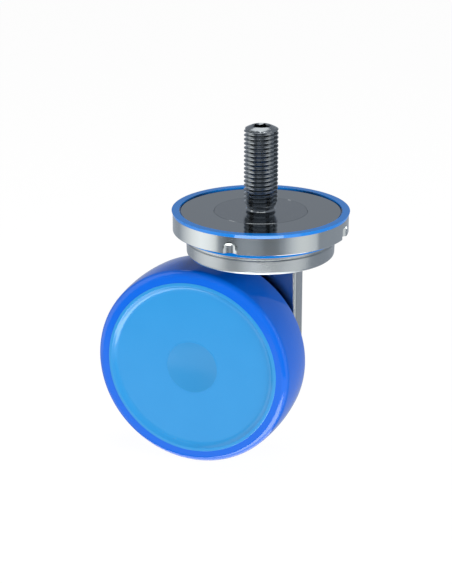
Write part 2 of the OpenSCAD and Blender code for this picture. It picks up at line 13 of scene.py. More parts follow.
import bmesh
import bpy
import numpy as np
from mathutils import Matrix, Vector


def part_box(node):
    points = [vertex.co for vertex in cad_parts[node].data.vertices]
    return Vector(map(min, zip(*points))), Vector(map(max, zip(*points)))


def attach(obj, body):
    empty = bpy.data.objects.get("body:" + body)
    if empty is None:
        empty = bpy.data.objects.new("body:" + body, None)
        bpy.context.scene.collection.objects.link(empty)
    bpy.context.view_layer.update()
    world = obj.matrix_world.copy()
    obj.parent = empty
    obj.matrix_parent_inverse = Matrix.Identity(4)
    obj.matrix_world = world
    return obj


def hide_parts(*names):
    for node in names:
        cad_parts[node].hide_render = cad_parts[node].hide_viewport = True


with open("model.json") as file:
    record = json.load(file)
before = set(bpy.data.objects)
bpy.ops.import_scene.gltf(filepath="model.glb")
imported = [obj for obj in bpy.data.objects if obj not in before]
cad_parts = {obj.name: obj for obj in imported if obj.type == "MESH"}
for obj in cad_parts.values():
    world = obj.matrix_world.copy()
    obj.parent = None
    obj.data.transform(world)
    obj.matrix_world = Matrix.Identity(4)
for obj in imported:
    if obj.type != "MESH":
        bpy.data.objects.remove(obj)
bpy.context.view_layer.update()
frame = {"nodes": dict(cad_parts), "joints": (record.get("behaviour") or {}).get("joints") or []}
print("nodes in the frame:", len(frame["nodes"]))

# %% [markdown]
# ## Sizes
# Everything here is written in millimetres and turned to metres when a mesh is made. The
# places come from the frame: a turned piece's box gives its largest radius and its two
# ends, and the wheel's joint gives the axle. A size that no box shows is named where it is
# first needed. Where two pieces would share a face, a fit's air is left between them.

# %% Read the sizes from the frame
MM = 0.001
FIT = 0.02


def span(node):
    """Lowest and highest corner of a CAD node, in millimetres."""
    low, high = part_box(node)
    return np.array(low) / MM, np.array(high) / MM


axle_joint = next(j for j in frame["joints"] if j["name"] == "wheel_roll")
AXLE = np.array(axle_joint["pos_m"]) / MM
STEM_LOW, STEM_HIGH = span("stem")
PLATE_LOW, PLATE_HIGH = span("top_plate")
RING_LOW, RING_HIGH = span("clamp_ring")
SEAL_LOW, SEAL_HIGH = span("top_seal")
TYRE_LOW, TYRE_HIGH = span("tyre")
HUB_HIGH = span("hub")[1]
CAP_LOW, CAP_HIGH = span("hub_cap")
FORK_HIGH = span("fork")[1]
FLOOR_Z = TYRE_LOW[2]
WHEEL_R = (TYRE_HIGH[2] - TYRE_LOW[2]) / 2
print("axle at", AXLE, "wheel radius", round(WHEEL_R, 2), "floor at", round(FLOOR_Z, 2))

# %% [markdown]
# ## From arrays to meshes
# A turned piece is a profile carried round an axis, so every point of it comes from one
# formula and numpy works them all out at once. The grid of points then gets its faces, and
# points that fall together, as at an axis, are merged into one. A face meets the next one
# smoothly unless the angle between them is that of a real edge.

# %% A mesh from a grid of points
WELD = 0.002
SHARP_DEG = 32.0


def in_scene(name, data):
    """A new object with the given data, linked to the scene."""
    obj = bpy.data.objects.new(name, data)
    bpy.context.scene.collection.objects.link(obj)
    return obj


def grid_faces(rows, cols, closed_rows=False):
    """Quads of a grid of points whose columns run round a closed turn, row by row."""
    r = np.arange(rows if closed_rows else rows - 1)[:, None]
    c = np.arange(cols)[None, :]
    down, right = (r + 1) % rows, (c + 1) % cols
    quads = [r * cols + c, r * cols + right, down * cols + right, down * cols + c]
    return np.stack(quads, axis=-1).reshape(-1, 4)


def piece(name, points, faces, sharp=SHARP_DEG):
    """A mesh object from points in millimetres: doubles are merged, and if the volume comes
    out negative every face is turned, so that all of them point outwards."""
    mesh = bpy.data.meshes.new(name)
    mesh.from_pydata((np.asarray(points, float) * MM).tolist(), [], [list(f) for f in faces])
    work = bmesh.new()
    work.from_mesh(mesh)
    bmesh.ops.remove_doubles(work, verts=work.verts, dist=WELD * MM)
    bmesh.ops.dissolve_degenerate(work, edges=work.edges, dist=WELD * MM / 4)
    if work.calc_volume(signed=True) < 0:
        bmesh.ops.reverse_faces(work, faces=work.faces)
    work.to_mesh(mesh)
    work.free()
    mesh.shade_smooth()
    mesh.set_sharp_from_angle(angle=math.radians(sharp))
    return in_scene(name, mesh)


print("faces of a 3 by 4 grid:", len(grid_faces(3, 4)))

# %% [markdown]
# ### Rounded outlines
# Real edges are never quite sharp, and light runs along them. They need care, though: a
# smooth-shaded flat face beside a fillet looks bent, because a vertex shares its normal. A
# point set a hair's breadth before and after each fillet keeps the bend inside the fillet.

# %% Arcs and fillets
SUPPORT = 0.04
NEARLY_STRAIGHT = 1.55


def arc(cx, cy, r, start, end, steps):
    """Points on a circle about (cx, cy), from one angle to another, both in degrees."""
    a = np.radians(np.linspace(start, end, steps + 1))
    return np.stack([cx + r * np.cos(a), cy + r * np.sin(a)], axis=-1)


def filleted(corners, steps):
    """A closed outline with its corners rounded. Each corner is (x, y, radius): the arc of
    that radius touches both edges, so its centre lies on the corner's bisector at radius
    over the sine of half the angle. A support point follows on each straight edge. A corner
    without a radius, or of a half angle in radians past NEARLY_STRAIGHT, stays sharp."""
    xy = np.array([c[:2] for c in corners], float)
    out = []
    for i, here in enumerate(xy):
        radius = corners[i][2]
        back, ahead = xy[i - 1] - here, xy[(i + 1) % len(xy)] - here
        back, ahead = back / np.linalg.norm(back), ahead / np.linalg.norm(ahead)
        half = math.acos(max(-1.0, min(1.0, float(back @ ahead)))) / 2
        if radius <= 0 or half > NEARLY_STRAIGHT:
            out += [here + back * SUPPORT, here, here + ahead * SUPPORT]
            continue
        reach = radius / math.tan(half)
        centre = here + (back + ahead) / np.linalg.norm(back + ahead) * radius / math.sin(half)
        v0, v1 = here + back * reach - centre, here + ahead * reach - centre
        turn = math.atan2(v0[0] * v1[1] - v0[1] * v1[0], v0 @ v1)
        out.append(here + back * (reach + SUPPORT))
        for k in range(steps + 1):
            a = turn * k / steps
            c, s = math.cos(a), math.sin(a)
            out.append(centre + [c * v0[0] - s * v0[1], s * v0[0] + c * v0[1]])
        out.append(here + ahead * (reach + SUPPORT))
    return np.array(out)


print("points of a rounded triangle:", len(filleted([(0, 0, 1), (9, 0, 1), (0, 9, 1)], 7)))

# %% [markdown]
# ### Turned and joined pieces
# Most pieces of a castor come from a lathe, so one function carries a profile round the
# stem's axis or round the axle. The fork's arm and the ring's scoops aren't turned with
# the piece: a boolean joins them to it, or cuts them from it, and is applied at once.

# %% Turning and booleans


def turned(profile, segments, about_axle=False):
    """A closed profile of (radius, height) carried round the Z axis, or round the axle with
    its height along +Y. Point = (r cos a, r sin a, h), and (x, h, -y) about the axle."""
    profile = np.asarray(profile, float)
    a = np.linspace(0, 2 * np.pi, segments, endpoint=False)
    r, h = profile[:, :1], np.repeat(profile[:, 1:], segments, axis=1)
    x, y = r * np.cos(a), r * np.sin(a)
    if about_axle:
        points = np.stack([x + AXLE[0], h, AXLE[2] - y], axis=-1)
    else:
        points = np.stack([x, y, h], axis=-1)
    return points.reshape(-1, 3), grid_faces(len(profile), segments, closed_rows=True)


def combined(base, other, operation):
    """Joins or cuts a piece with another by a boolean, applies it, and removes the other."""
    cut = base.modifiers.new(operation, "BOOLEAN")
    cut.operation, cut.object, cut.solver = operation, other, "EXACT"
    bpy.context.view_layer.objects.active = base
    bpy.ops.object.modifier_apply(modifier=cut.name)
    bpy.data.objects.remove(other)


print("points of a washer:", len(turned([(1, 0), (2, 0), (2, 1), (1, 1)], segments=32)[0]))

# %% [markdown]
# ## Materials
# Every finish is named for what the real one is. Colours are written as they look on a
# screen, and one function turns them to the linear values that light is worked out in.
# One helper adds a node, sets what it needs, and links its inputs.

# %% Colours and nodes


def hex_colour(code):
    """Linear RGBA of an sRGB hex colour: the curve is a power of 2.4 above a straight toe."""
    srgb = np.array([int(code[i:i + 2], 16) for i in (1, 3, 5)]) / 255
    linear = np.where(srgb <= 0.04045, srgb / 12.92, ((srgb + 0.055) / 1.055) ** 2.4)
    return (*linear, 1.0)


def add(tree, kind, inputs=None, **settings):
    """Adds a node of a kind, sets its properties, and fills or links its named inputs."""
    new = tree.nodes.new("ShaderNode" + kind)
    for key, value in settings.items():
        setattr(new, key, value)
    for key, value in (inputs or {}).items():
        if isinstance(value, bpy.types.NodeSocket):
            tree.links.new(value, new.inputs[key])
        else:
            new.inputs[key].default_value = value
    return new


def finish(name, colour, **sockets):
    """A new material with one Principled shader, and the tree to work on."""
    made = bpy.data.materials.new(name)
    made.use_nodes = True
    tree = made.node_tree
    shader = tree.nodes["Principled BSDF"]
    shader.inputs["Base Color"].default_value = hex_colour(colour)
    for key, value in sockets.items():
        shader.inputs[key].default_value = value
    return made, tree, shader


print("white in linear light:", np.round(hex_colour("#FFFFFF"), 3))

# %% [markdown]
# ### Patterns
# A finish is never the same all over. Each pattern here is a noise whose grains have a size
# in millimetres, read at the surface's own point, so that it rides with the piece.

# %% Places and patterns


def place(tree, stretch=(1.0, 1.0, 1.0), about=(0.0, 0.0, 0.0)):
    """The surface's own coordinates in metres, moved to a centre and stretched."""
    own = add(tree, "TexCoord").outputs["Object"]
    offset = [-about[i] * MM * stretch[i] for i in range(3)]
    mapping = add(tree, "Mapping", {"Vector": own, "Location": offset, "Scale": stretch})
    return mapping.outputs["Vector"]


def grains(tree, size_mm, detail=2.0, vector=None):
    """A noise whose grains are about the given size across."""
    vector = vector or place(tree)
    noise = {"Vector": vector, "Scale": 1 / (size_mm * MM), "Detail": detail}
    return add(tree, "TexNoise", noise).outputs["Fac"]


def radius_of(tree, about, along):
    """Distance of a surface point from an axis, in metres."""
    across = place(tree, (1, 1, 0) if along == "Z" else (1, 0, 1), about)
    return add(tree, "VectorMath", {0: across}, operation="LENGTH").outputs["Value"]


print("patterns: grains, and the distance from an axis")

# %% [markdown]
# ### What a pattern drives
# A pattern can change how sharp the gloss is, tilt the surface as small relief would, or
# shift the colour a little. A form that shows in the outline is made in the mesh instead.

# %% Unevenness, bump and shade


def uneven(tree, shader, socket, pattern, low, high):
    """Drives a socket of the shader between two values with a pattern of 0 to 1."""
    spread = add(tree, "MapRange", {"Value": pattern, "To Min": low, "To Max": high})
    tree.links.new(spread.outputs["Result"], shader.inputs[socket])


def bumped(tree, shader, height, depth_mm):
    """Tilts the shader's normal as if the surface rose by the depth where the height is 1."""
    bump = add(tree, "Bump", {"Height": height, "Distance": depth_mm * MM})
    tree.links.new(bump.outputs["Normal"], shader.inputs["Normal"])


def shaded(tree, shader, factor, dark, light):
    """Drives the base colour between two colours with a factor."""
    ramp = add(tree, "ValToRGB", {"Fac": factor})
    ramp.color_ramp.elements[0].color = hex_colour(dark)
    ramp.color_ramp.elements[1].color = hex_colour(light)
    tree.links.new(ramp.outputs["Color"], shader.inputs["Base Color"])


print("a finish can be uneven, bumped and shaded")

# %% [markdown]
# ### The blues
# The tyre is polyurethane cast on the hub, with the gloss of its mould. The hub and its cap
# are nylon from a mould with a satin surface, so they look paler and softer. The two seals
# are cast polyurethane too. A plastic's surface reflects about four parts in a hundred head
# on, whatever its colour, so a highlight on it is white, and its roughness says how sharp.

# %% The blue plastics


def cast_polyurethane(name, dark, light, roughness):
    """Cast polyurethane: a mould's gloss. The colour clouds over 14 mm and the gloss over
    6 mm, and a slow wave, 9 mm long and 0.02 mm high, breaks long highlights."""
    made, tree, shader = finish(name, light, Roughness=roughness, IOR=1.5)
    shaded(tree, shader, grains(tree, 14.0), dark, light)
    uneven(tree, shader, "Roughness", grains(tree, 6.0), roughness * 0.8, roughness * 1.25)
    bumped(tree, shader, grains(tree, 9.0, 1.0), 0.02)
    return made


def moulded_nylon(name, dark, light, roughness):
    """Moulded nylon: a satin surface from a fine eroded mould, with grains drawn at half a
    millimetre so that they show, and a colour that clouds over 20 mm."""
    made, tree, shader = finish(name, light, Roughness=roughness, IOR=1.53)
    shaded(tree, shader, grains(tree, 20.0), dark, light)
    bumped(tree, shader, grains(tree, 0.5), 0.006)
    return made


tyre_blue = cast_polyurethane("cast_polyurethane_tyre", "#006AE8", "#0070EF", 0.09)
seal_blue = cast_polyurethane("cast_polyurethane_seal", "#0A82E4", "#0E88EA", 0.07)
hub_blue = moulded_nylon("moulded_nylon_hub", "#2E9BE2", "#339FE6", 0.16)
# The cap's greyer blue is a painted sheen: it stands in for the light its dish mirrors.
cap_painted_sheen_blue = moulded_nylon("moulded_nylon_cap_painted_sheen", "#3496D6", "#3899DA", 0.17)
print("plastics:", tyre_blue.name, hub_blue.name)

# %% [markdown]
# ### The steels
# The stem and the top plate are blackened and polished, so they are dark mirrors that give
# back little more than a third of the light. The ring is bright zinc on a turned surface:
# fine lines run round it, and they smear its highlights a little along its height. The fork
# is zinc on a cast surface, with a sand grain that speckles it. A metal's colour is the
# colour of its reflections.

# %% The metals


def turned_steel(name, colour, roughness, line_mm, depth_mm, about=(0, 0, 0), along="Z"):
    """Turned steel: rings left by the tool, as a noise read from radius and height alone,
    wider than a fine cut leaves them so that they show."""
    made, tree, shader = finish(name, colour, Metallic=1.0, Roughness=roughness)
    radius = radius_of(tree, about, along)
    own = add(tree, "SeparateXYZ", {0: place(tree, about=about)})
    height = own.outputs["Z" if along == "Z" else "Y"]
    lines = add(tree, "CombineXYZ", {"X": radius, "Y": height})
    pattern = grains(tree, line_mm, 3.0, lines.outputs["Vector"])
    uneven(tree, shader, "Roughness", pattern, roughness * 0.8, roughness * 1.3)
    bumped(tree, shader, pattern, depth_mm)
    return made


def cast_steel(name, colour, roughness):
    """Zinc on a casting: sand grains as bump, drawn at 0.6 mm so that they show, and a
    gloss that changes slowly, over 8 mm."""
    made, tree, shader = finish(name, colour, Metallic=1.0, Roughness=roughness)
    uneven(tree, shader, "Roughness", grains(tree, 8.0), roughness * 0.85, roughness * 1.2)
    bumped(tree, shader, grains(tree, 0.6, 3.0), 0.045)
    return made


stem_steel = turned_steel("blackened_steel_stem", "#9CA1A4", 0.15, 0.3, 0.0001)
plate_steel = turned_steel("blackened_steel_plate", "#A8ADAF", 0.07, 0.25, 0.0001)
ring_steel = turned_steel("zinc_plated_turned_steel", "#C2C8C9", 0.14, 0.3, 0.0004)
fork_steel = cast_steel("zinc_plated_cast_steel", "#B4BABC", 0.24)
nut_steel = turned_steel("zinc_plated_fasteners", "#C6C9CC", 0.2, 0.3, 0.0005, AXLE, "Y")
race_steel = turned_steel("ground_bearing_steel", "#B9BCC2", 0.12, 0.15, 0.0002)
spring_steel = turned_steel("oiled_spring_steel", "#6E7176", 0.3, 0.2, 0.0005, AXLE, "Y")
print("metals:", ring_steel.name, fork_steel.name)

# %% [markdown]
# ### What hardly shows
# Balls, cages and rubber sit inside. They still get their own finish, because the model can
# be opened up: ground balls are the smoothest metal here, cages are stamped brass, and the
# shaft seal is nitrile rubber, which is a dark grey with a broad dull sheen.

# %% The inner pieces


def stamped_brass(name):
    """Stamped brass: yellow metal, clouded by a film of oil 3 mm across."""
    made, tree, shader = finish(name, "#C9A45A", Metallic=1.0, Roughness=0.28)
    shaded(tree, shader, grains(tree, 3.0), "#B18C44", "#CDA95F")
    bumped(tree, shader, grains(tree, 0.4), 0.004)
    return made


def nitrile_rubber(name):
    """Nitrile rubber: nearly black, dull, with a bloom of paler dust."""
    made, tree, shader = finish(name, "#1C1D20", Roughness=0.62, IOR=1.52)
    shaded(tree, shader, grains(tree, 2.0, 4.0), "#17181B", "#2A2B2F")
    bumped(tree, shader, grains(tree, 0.6), 0.01)
    return made


def ground_balls(name):
    """Ground and lapped balls: a clean mirror with the faintest haze."""
    made, tree, shader = finish(name, "#C8CACF", Metallic=1.0, Roughness=0.05)
    uneven(tree, shader, "Roughness", grains(tree, 1.0), 0.04, 0.08)
    return made


cage_brass = stamped_brass("stamped_brass")
seal_rubber = nitrile_rubber("nitrile_rubber")
ball_steel = ground_balls("ground_steel_balls")
print("inner finishes:", cage_brass.name, seal_rubber.name, ball_steel.name)

# %% [markdown]
# ### Finishes on the CAD nodes
# A node whose shape is already right keeps its mesh and only takes a material. The names
# of the nodes say which finish each has.

# %% Dress the CAD nodes
WEARS = {
    stem_steel: ["stem"],
    plate_steel: ["top_plate"],
    ring_steel: ["clamp_ring"],
    seal_blue: ["top_seal", "lip_seal"],
    fork_steel: ["fork", "bottom_cover"],
    tyre_blue: ["tyre"],
    hub_blue: ["hub"],
    cap_painted_sheen_blue: ["hub_cap"],
    nut_steel: ["axle_washer", "axle_nut"],
    spring_steel: ["circlip", "lock_washer"],
    cage_brass: ["thrust_cage", "king_bearing_cage", "near_bearing_cage", "far_bearing_cage"],
    seal_rubber: ["shaft_seal"],
    ball_steel: ["thrust_balls", "king_bearing_balls", "near_bearing_balls", "far_bearing_balls"],
}
finish_of = {node: made for made, names in WEARS.items() for node in names}
for node, obj in frame["nodes"].items():
    obj.data.materials.clear()
    obj.data.materials.append(finish_of.get(node, race_steel))
print("dressed", len(frame["nodes"]), "nodes")

# %% [markdown]
# ## The tyre
# The tread is slightly crowned, and its edges are rounded where the mould closed. On the
# CAD node the crown is a dozen flats, fine for size but visible in a gloss this strong.
# The same section is turned again here with many more points. Inside, a key on each side
# locks the tyre to the hub, so the section is the same there.

# %% Turn the tyre
TREAD_HALF = TYRE_HIGH[1]
TREAD_EDGE_R = 4.2
CROWN_R = 125.0
CROWN_STEPS, EDGE_STEPS = 28, 14
RIM_BAND = 8.3
KEY_DEPTH = 2.5
KEY_HALF = 9.0
HUB_R = WHEEL_R - RIM_BAND
KEY_CORNER = 0.15


def key_half(side):
    """The dovetail key between tyre and hub, from one face to the middle."""
    points = [
        (HUB_R, KEY_HALF + KEY_DEPTH, KEY_CORNER),
        (HUB_R - KEY_DEPTH, KEY_HALF, KEY_CORNER),
    ]
    return [(r, side * h, c) for r, h, c in (points if side > 0 else points[::-1])]


crown_deg = math.degrees(math.asin((TREAD_HALF - TREAD_EDGE_R) / (CROWN_R - TREAD_EDGE_R)))
edge_r = WHEEL_R - CROWN_R + (CROWN_R - TREAD_EDGE_R) * math.cos(math.radians(crown_deg))
edge_h = (CROWN_R - TREAD_EDGE_R) * math.sin(math.radians(crown_deg))
inner = filleted(
    [(HUB_R, TREAD_HALF, 0.0)] + key_half(1) + key_half(-1) + [(HUB_R, -TREAD_HALF, 0.0)], 4
)
tyre_profile = np.concatenate([
    arc(WHEEL_R - CROWN_R, 0, CROWN_R, -crown_deg, crown_deg, CROWN_STEPS),
    arc(edge_r, edge_h, TREAD_EDGE_R, crown_deg, 90, EDGE_STEPS)[1:],
    [(edge_r - SUPPORT, TREAD_HALF)],
    inner[1:-1],
    [(edge_r - SUPPORT, -TREAD_HALF)],
    arc(edge_r, -edge_h, TREAD_EDGE_R, -90, -crown_deg, EDGE_STEPS)[:-1],
])
tyre = piece("blue_tyre", *turned(tyre_profile, segments=256, about_axle=True))
tyre.data.materials.append(tyre_blue)
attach(tyre, "wheel")
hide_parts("tyre")
print("tyre:", len(tyre.data.polygons), "faces")

# %% [markdown]
# ## The hub
# The hub is one moulding: a disc on each side, a lip that stands up round it, and a seat
# for each bearing. The lip's slope is hollow at its foot and tight at its top, and it draws
# the bright double line that shows against the light. One profile serves both sides: the
# near side is the far one turned over, with a wider hole for the cap.

# %% Turn the hub
RIM_FACE = HUB_HIGH[1]
DISC_DEPTH = 1.8
DISC_FACE = RIM_FACE - DISC_DEPTH
LIP_WIDTH, LIP_TOP_WIDTH = 4.1, 1.95
SLOPE_FOOT_R = HUB_R - LIP_WIDTH
SLOPE_TOP_R = HUB_R - LIP_TOP_WIDTH
FOOT_ROUND, TOP_ROUND = 4.2, 0.8
BEARING_SEAT_R = 16.02
BEARING_SHOULDER = 2.0
SHOULDER_R = BEARING_SEAT_R - BEARING_SHOULDER
BEARING_IN = 3.0
CAP_R = (CAP_HIGH[2] - CAP_LOW[2]) / 2
CAP_SEAT_DEPTH = 1.75
CAP_SEAT = DISC_FACE - CAP_SEAT_DEPTH
EDGE = 0.3
CAP_EDGE = 0.04


def hub_side(seat_r, seat_h, edge):
    """One side of the hub, from its bearing seat over the disc and lip to the rim. A sharp
    corner has three points, and the slope leaves out those of its two ends."""
    mouth = arc(seat_r + edge, DISC_FACE - edge, edge, 180, 90, 5)
    slope = filleted([
        (seat_r, DISC_FACE, 0), (SLOPE_FOOT_R, DISC_FACE, FOOT_ROUND),
        (SLOPE_TOP_R, RIM_FACE, TOP_ROUND), (HUB_R, RIM_FACE, 0),
    ], 12)[3:-3]
    rim = arc(HUB_R - EDGE, RIM_FACE - EDGE, EDGE, 90, 0, 5)
    return np.concatenate([
        [(seat_r, seat_h), (seat_r, DISC_FACE - edge - SUPPORT)],
        mouth,
        [(seat_r + edge + SUPPORT, DISC_FACE)],
        slope,
        rim,
    ])


def flipped(profile):
    """The same profile on the other side of the middle, run backwards."""
    return (np.asarray(profile) * [1, -1])[::-1]


PAST_KEY = 1.0
key_end = KEY_HALF + KEY_DEPTH + PAST_KEY
key = filleted(
    [(HUB_R, key_end, 0)] + key_half(1) + key_half(-1) + [(HUB_R, -key_end, 0)], 4
)[1:-1]
hub_profile = np.concatenate([
    [(SHOULDER_R, -BEARING_IN), (SHOULDER_R, BEARING_IN)],
    hub_side(BEARING_SEAT_R, BEARING_IN, EDGE),
    key,
    flipped(hub_side(CAP_R + FIT, CAP_SEAT, CAP_EDGE)),
    [(BEARING_SEAT_R, -CAP_SEAT), (BEARING_SEAT_R, -BEARING_IN)],
])
hub = piece("blue_hub", *turned(hub_profile, segments=224, about_axle=True))
hub.data.materials.append(hub_blue)
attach(hub, "wheel")
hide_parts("hub")
print("hub:", len(hub.data.polygons), "faces")

# %% [markdown]
# ## The cap
# The cap is a nylon moulding that closes the hub over the bearing. It is dished like a shallow
# lens, so it mirrors a wider part of the studio than the flat disc does. Its dish is given a
# greyer blue than the hub, a painted sheen that stands for that wider reflection. Its thin rim
# lies flush in the hub and takes the hub's colour, so that only the dish shows the painted
# sheen. The faces outside the dish get that second material by their centres.

# %% Turn the cap
CAP_DISH = 1.2
CAP_T = 1.1
CAP_SKIRT_R = BEARING_SEAT_R - FIT
CAP_SKIRT_T = 1.4
DISH_EDGE_R = 16.1
dish_r = (DISH_EDGE_R**2 + CAP_DISH**2) / (2 * CAP_DISH)
dish_deg = math.degrees(math.asin(DISH_EDGE_R / dish_r))
face = -DISC_FACE
dish = arc(0, face + CAP_DISH - dish_r, dish_r, 90, 90 - dish_deg, 24)
cap_floor = face + CAP_DISH + CAP_T
cap_profile = np.concatenate([
    dish,
    [(DISH_EDGE_R + SUPPORT, face)],
    arc(CAP_R - CAP_EDGE, face + CAP_EDGE, CAP_EDGE, -90, 0, 5),
    [
        (CAP_R, face + CAP_SEAT_DEPTH), (CAP_SKIRT_R, face + CAP_SEAT_DEPTH),
        (CAP_SKIRT_R, CAP_HIGH[1]),
        (CAP_SKIRT_R - CAP_SKIRT_T, CAP_HIGH[1]), (CAP_SKIRT_R - CAP_SKIRT_T, cap_floor),
        (0, cap_floor),
    ],
])
cap = piece("blue_hub_cap", *turned(cap_profile, segments=160, about_axle=True))
cap.data.materials.append(cap_painted_sheen_blue)
cap.data.materials.append(hub_blue)
centres = np.array([f.center for f in cap.data.polygons]) / MM - AXLE
on_rim = np.hypot(centres[:, 0], centres[:, 2]) > DISH_EDGE_R
cap.data.polygons.foreach_set("material_index", on_rim.astype(int))
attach(cap, "wheel")
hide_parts("hub_cap")
print("cap:", len(cap.data.polygons), "faces")

# %% [markdown]
# ## The top seal
# The seal lies on the clamp ring, round the plate. A torus would be quicker, but the real
# one has flat faces: its side flares outwards, and its edges are hardly rounded, so the
# light that runs along its side has sharp ends. A slot keeps it off the plate.

# %% Turn the top seal
SEAL_OUT = SEAL_HIGH[0]
SEAL_SLOT = 0.6
SEAL_IN = PLATE_HIGH[0] + SEAL_SLOT
SEAL_FOOT = RING_HIGH[0]
SEAL_EDGE, SEAL_FOOT_EDGE = 0.18, 0.05
seal_profile = filleted([
    (SEAL_IN, SEAL_LOW[2], 0.0),
    (SEAL_FOOT, SEAL_LOW[2], SEAL_FOOT_EDGE),
    (SEAL_OUT, SEAL_HIGH[2], SEAL_EDGE),
    (SEAL_IN, SEAL_HIGH[2], SEAL_EDGE),
], 5)
seal = piece("blue_top_seal", *turned(seal_profile, segments=256))
seal.data.materials.append(seal_blue)
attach(seal, "head")
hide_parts("top_seal")
print("seal:", len(seal.data.polygons), "faces")

# %% [markdown]
# ## The clamp ring
# The ring is turned steel and clamps the plate. Four scoops let a spanner turn it. A cutter
# with a round end made them, so each is a hollow with a domed top, and it mirrors the
# studio from one side to the other. The same is done here: a domed plug is cut from the
# ring four times. It stands out below, so that no two faces lie in one plane.

# %% Turn the ring and scoop it
RING_OUT = RING_HIGH[0]
RING_LIP = 4.7
RING_BORE = PLATE_HIGH[0] - RING_LIP
RING_BORE_EDGE = 0.1
RING_SHELF = PLATE_LOW[2]
RING_DROP = 0.55
RING_FOOT = RING_LOW[2] - RING_DROP
RING_BREAK = 0.35
SCOOP_R = 5.0
SCOOP_DEPTH = 2.9
SCOOP_DOME_Z = -7.3
SCOOP_DOME = 3.4
CUT_PAST = 2.0
ring = piece("bright_clamp_ring", *turned(filleted([
    (PLATE_HIGH[0] + FIT, RING_HIGH[2], 0.0), (PLATE_HIGH[0] + FIT, RING_SHELF, 0.0),
    (RING_BORE, RING_SHELF, 0.0), (RING_BORE, RING_FOOT, RING_BORE_EDGE),
    (RING_OUT - RING_BREAK, RING_FOOT, 0.0), (RING_OUT, RING_FOOT + RING_BREAK, 0.0),
    (RING_OUT, RING_HIGH[2], 0.0),
], 5), segments=256))
cutter_profile = np.concatenate([
    [(0, RING_LOW[2] - CUT_PAST), (SCOOP_R, RING_LOW[2] - CUT_PAST)],
    arc(0, 0, 1, 0, 90, 24) * [SCOOP_R, SCOOP_DOME] + [0, SCOOP_DOME_Z],
])
cutter_points, cutter_faces = turned(cutter_profile, segments=128)
reach = RING_OUT - SCOOP_DEPTH + SCOOP_R
for x, y in ((1, 0), (0, 1), (-1, 0), (0, -1)):
    cutter = piece("scoop_cutter", cutter_points + [x * reach, y * reach, 0], cutter_faces)
    combined(ring, cutter, "DIFFERENCE")
ring.data.set_sharp_from_angle(angle=math.radians(SHARP_DEG))
ring.data.materials.clear()
ring.data.materials.append(ring_steel)
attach(ring, "head")
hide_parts("clamp_ring")
print("ring:", len(ring.data.polygons), "faces")

# %% [markdown]
# ## The lip seal
# This second seal lies on the fork, round its neck, and keeps water out of the swivel. Only
# its edge shows, as a thin blue line under the ring. The ring here reaches a little lower
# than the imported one, so the seal is thinner by as much, and the running gap stays.

# %% Turn the lip seal
LIP_SEAL_LOW, LIP_SEAL_HIGH = span("lip_seal")
LIP_SEAL_W = 3.98
LIP_SEAL_DRAWN_IN = 0.5
LIP_SEAL_GAP = 0.3
LIP_SEAL_OUT = LIP_SEAL_HIGH[0] - LIP_SEAL_DRAWN_IN
LIP_SEAL_IN = LIP_SEAL_HIGH[0] - LIP_SEAL_W
LIP_SEAL_TOP = RING_FOOT - LIP_SEAL_GAP
LIP_SEAL_EDGE = 0.15
UPRIGHT, SLOPE_W = 0.45, 1.5
lip_seal = piece("blue_lip_seal", *turned(filleted([
    (LIP_SEAL_IN, LIP_SEAL_LOW[2], 0.0),
    (LIP_SEAL_OUT, LIP_SEAL_LOW[2], LIP_SEAL_EDGE),
    (LIP_SEAL_OUT, LIP_SEAL_LOW[2] + UPRIGHT, LIP_SEAL_EDGE),
    (LIP_SEAL_OUT - SLOPE_W, LIP_SEAL_TOP, LIP_SEAL_EDGE),
    (LIP_SEAL_IN, LIP_SEAL_TOP, 0.0),
], 4), segments=224))
lip_seal.data.materials.append(seal_blue)
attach(lip_seal, "fork")
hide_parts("lip_seal")
print("lip seal:", len(lip_seal.data.polygons), "faces")

# %% [markdown]
# ## The stem
# Stem, flange and kingpin are turned from one bar, so they are one mesh here too: a grid
# whose rows run from the kingpin's end up over the flange, along the thread, over the tip
# and down into its socket. All its rows have the same columns, so they join without a seam.
#
# ### The thread
# The thread is the hard part. Cut straight round, a grid would leave rings and not a helix,
# so each row climbs by one pitch in a turn: the rows then lie along the thread's crest, and
# a row leaves the grid at one end of the thread as another enters at the other. At the foot
# a cone draws the thread in to a narrow neck, and the tip is rounded as by a lathe tool.

# %% Rows of the thread
COLUMNS = 144
PITCH = 2.5
THREAD_R = 10.0
ROOT_R = 8.6
THREAD_START = 0.556
UNDERCUT_R = 8.0
UNDERCUT_FOOT = 2.6
UNDERCUT_CONE = 3.1
TIP_SHORT = 0.9
STEM_TOP = STEM_HIGH[2] - TIP_SHORT
TIP_LEN = 2.1
TIP_DRAW = 4.1
TIP_BEND = 1.35
TIP_FADE = 3
turn_deg = np.linspace(0, 360, COLUMNS, endpoint=False)

# Share of a pitch, and share of the thread's depth, through one crest, flank, root and flank
FORM = np.array([
    (0.0, 0.0), (0.06, 0.0), (0.145, 0.25), (0.23, 0.5), (0.315, 0.75), (0.4, 1.0),
    (0.5, 1.0), (0.6, 1.0), (0.685, 0.75), (0.77, 0.5), (0.855, 0.25), (0.94, 0.0), (1.0, 0.0),
])


